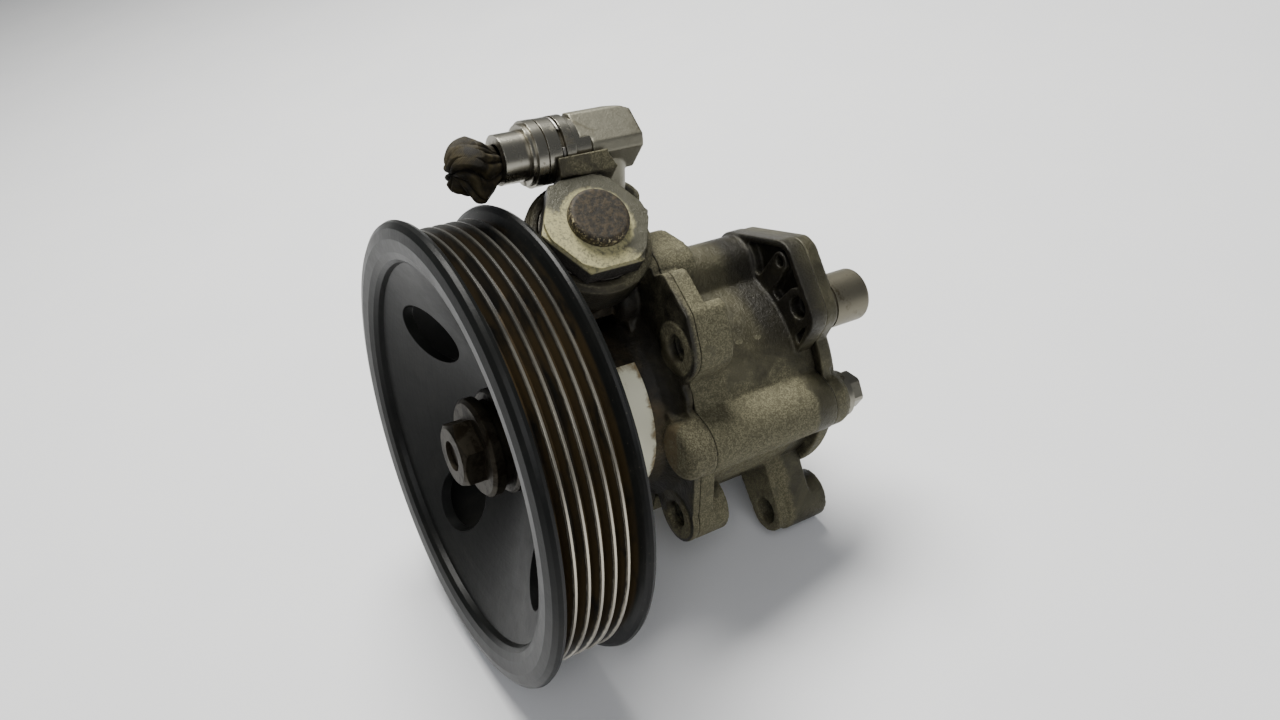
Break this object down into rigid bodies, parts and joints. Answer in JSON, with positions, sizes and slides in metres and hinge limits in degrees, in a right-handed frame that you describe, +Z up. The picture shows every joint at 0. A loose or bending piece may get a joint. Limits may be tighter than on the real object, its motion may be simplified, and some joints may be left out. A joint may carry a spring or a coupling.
{
  "type": "power steering pump",
  "caption": "Vane-type hydraulic steering pump with a grooved belt pulley, cast housings, a flow-control valve plug, an outlet elbow and a suction stub.",
  "frame": {"origin": "where the shaft's axis crosses the belt's middle plane", "axes": "+Y along the shaft from the pulley to the rear cover, +Z up, +X to the side of the mounting ears"},
  "size_m": [0.13, 0.1209, 0.1476],
  "materials": {
    "black_paint": "semi-gloss black paint, worn bright on the rib crests",
    "worn_steel": "dull oily steel",
    "bearing_steel": "ground and polished steel",
    "front_casting": "dark oily sand-cast aluminium",
    "body_casting": "dirty speckled sand-cast aluminium",
    "cover_casting": "dirty cast aluminium",
    "paper_label": "blank cream label, stained",
    "seal_rubber": "black nitrile rubber",
    "sintered_steel": "ground sintered iron",
    "bolt_steel": "oily zinc-plated steel",
    "spring_steel": "oiled spring wire",
    "rusty_plug": "yellow-passivated steel with rust in the recess",
    "bright_steel": "machined steel, clean",
    "oily_rag": "oil-soaked cloth"
  },
  "bodies": {
    "housing": {"front_housing": "front_casting", "pump_body": "body_casting", "rear_cover": "cover_casting", "label": "paper_label", "shaft_seal": "seal_rubber", "bearing_outer_race": "bearing_steel", "bearing_snap_ring": "spring_steel", "front_pressure_plate": "sintered_steel", "cam_ring": "sintered_steel", "rear_pressure_plate": "sintered_steel", "dowel_pins": "bearing_steel", "plate_spring": "spring_steel", "body_seal_ring": "seal_rubber", "cover_seal_ring": "seal_rubber", "suction_stub": "bolt_steel", "cover_bolts": "bolt_steel", "valve_plug": "rusty_plug", "plug_seal_ring": "bolt_steel", "spool_spring": "spring_steel", "outlet_elbow": "bright_steel", "outlet_nipple": "bright_steel", "nipple_clip": "spring_steel", "elbow_seal_ring": "seal_rubber", "rag_stopper": "oily_rag"},
    "rotating_group": {"pulley": "black_paint", "pulley_hub": "worn_steel", "bolt_washer": "worn_steel", "pulley_bolt": "worn_steel", "drive_shaft": "bearing_steel", "bearing_inner_race": "bearing_steel", "rotor": "sintered_steel"},
    "bearing_set": {"bearing_balls": "bearing_steel", "bearing_cage": "bearing_steel"},
    "spool": {"control_spool": "bearing_steel", "relief_seat": "sintered_steel", "relief_spring": "spring_steel"},
    "ball": {"relief_ball": "bearing_steel"},
    "vane_01": {"vane_01": "spring_steel"},
    "vane_02": {"vane_02": "spring_steel"},
    "vane_03": {"vane_03": "spring_steel"},
    "vane_04": {"vane_04": "spring_steel"},
    "vane_05": {"vane_05": "spring_steel"},
    "vane_06": {"vane_06": "spring_steel"},
    "vane_07": {"vane_07": "spring_steel"},
    "vane_08": {"vane_08": "spring_steel"},
    "vane_09": {"vane_09": "spring_steel"},
    "vane_10": {"vane_10": "spring_steel"}
  },
  "joints": [
    {"name": "rotor_spin", "type": "hinge", "parent": "housing", "child": "rotating_group", "pos_m": [0, 0, 0], "axis": [0, 1, 0], "continuous": true},
    {"name": "bearing_spin", "type": "hinge", "parent": "housing", "child": "bearing_set", "pos_m": [0, 0, 0], "axis": [0, 1, 0], "continuous": true},
    {"name": "spool_slide", "type": "slide", "parent": "housing", "child": "spool", "axis": [-0.5878, 0, -0.809], "range_m": [0, 0.008], "stiffness_N_per_m": 2000, "springref_m": -0.004, "deforming": ["spool_spring"]},
    {"name": "relief_slide", "type": "slide", "parent": "spool", "child": "ball", "axis": [-0.5878, 0, -0.809], "range_m": [0, 0.0006], "stiffness_N_per_m": 2000, "springref_m": -0.002, "deforming": ["relief_spring"]},
    {"name": "vane_01_slide", "type": "slide", "parent": "rotating_group", "child": "vane_01", "axis": [1, 0, 0], "range_m": [0, 0.00202]},
    {"name": "vane_02_slide", "type": "slide", "parent": "rotating_group", "child": "vane_02", "axis": [0.809, 0, 0.5878], "range_m": [0, 0.00116]},
    {"name": "vane_03_slide", "type": "slide", "parent": "rotating_group", "child": "vane_03", "axis": [0.309, 0, 0.9511], "range_m": [0, 0.00014]},
    {"name": "vane_04_slide", "type": "slide", "parent": "rotating_group", "child": "vane_04", "axis": [-0.309, 0, 0.9511], "range_m": [0, 0.00014]},
    {"name": "vane_05_slide", "type": "slide", "parent": "rotating_group", "child": "vane_05", "axis": [-0.809, 0, 0.5878], "range_m": [0, 0.00116]},
    {"name": "vane_06_slide", "type": "slide", "parent": "rotating_group", "child": "vane_06", "axis": [-1, 0, 0], "range_m": [0, 0.00202]},
    {"name": "vane_07_slide", "type": "slide", "parent": "rotating_group", "child": "vane_07", "axis": [-0.809, 0, -0.5878], "range_m": [0, 0.00116]},
    {"name": "vane_08_slide", "type": "slide", "parent": "rotating_group", "child": "vane_08", "axis": [-0.309, 0, -0.9511], "range_m": [0, 0.00014]},
    {"name": "vane_09_slide", "type": "slide", "parent": "rotating_group", "child": "vane_09", "axis": [0.309, 0, -0.9511], "range_m": [0, 0.00014]},
    {"name": "vane_10_slide", "type": "slide", "parent": "rotating_group", "child": "vane_10", "axis": [0.809, 0, -0.5878], "range_m": [0, 0.00116]}
  ],
  "couplings": [
    {"joint": "bearing_spin", "follows": "rotor_spin", "ratio": 0.40846}
  ]
}
